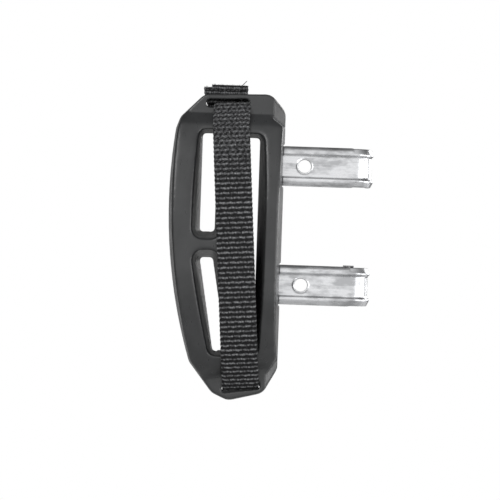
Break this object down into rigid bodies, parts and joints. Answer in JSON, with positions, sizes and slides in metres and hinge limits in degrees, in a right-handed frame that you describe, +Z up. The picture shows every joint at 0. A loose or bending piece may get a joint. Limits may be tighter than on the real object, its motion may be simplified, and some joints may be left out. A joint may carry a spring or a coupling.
{
  "type": "strap saddle with hook arms",
  "caption": "Arched plastic saddle with a webbing strap laced through its end slots and pressed steel hook arms on its straight side.",
  "frame": {"origin": "midway between the two round holes of the arms, on the back face of their webs", "axes": "+X along the arms towards their hooks, +Z up along the straight side of the saddle, the front face looks along -Y"},
  "size_m": [0.1418, 0.0496, 0.2191],
  "materials": {
    "moulded_plastic": "satin moulded black",
    "adjuster_plastic": "satin moulded black",
    "webbing": "coarse ribbed black webbing",
    "thread": "black bonded thread",
    "zinc_plated_steel": "bright zinc plated pressing",
    "plain_steel": "zinc plated hardware",
    "liner_rubber": "matt grey rubber",
    "insert_brass": "turned brass"
  },
  "bodies": {
    "saddle": {"strap_upper_turn": "webbing", "strap_lower_turn": "webbing", "strap_back_run": "webbing", "strap_tail_root": "webbing", "bar_tack_stitches": "thread", "saddle_plate": "moulded_plastic", "upper_hook_arm": "zinc_plated_steel", "upper_hook_liner": "liner_rubber", "upper_clamp_plate": "plain_steel", "upper_arm_screws": "plain_steel", "upper_arm_washers": "plain_steel", "upper_thread_inserts": "insert_brass", "lower_hook_arm": "zinc_plated_steel", "lower_hook_liner": "liner_rubber", "lower_clamp_plate": "plain_steel", "lower_arm_screws": "plain_steel", "lower_arm_washers": "plain_steel", "lower_thread_inserts": "insert_brass"},
    "strap_front": {"strap_front_run": "webbing"},
    "tail": {"strap_tail_inner_layer": "webbing", "strap_tail_outer_layer": "webbing", "tail_hem_stitches": "thread"},
    "adjuster": {"strap_adjuster": "adjuster_plastic"}
  },
  "joints": [
    {"name": "strap_lift", "type": "slide", "parent": "saddle", "child": "strap_front", "axis": [0, -1, 0], "range_m": [0, 0.018], "stiffness_N_per_m": 150},
    {"name": "tail_flap", "type": "hinge", "parent": "saddle", "child": "tail", "pos_m": [-0.0563, 0.00845, 0.076], "axis": [-1, 0, 0], "range_deg": [0, 70], "stiffness_Nm_per_rad": 0.004},
    {"name": "adjuster_slide", "type": "slide", "parent": "saddle", "child": "adjuster", "axis": [-0.0684, 0, 0.9977], "range_m": [0, 0.025]}
  ]
}
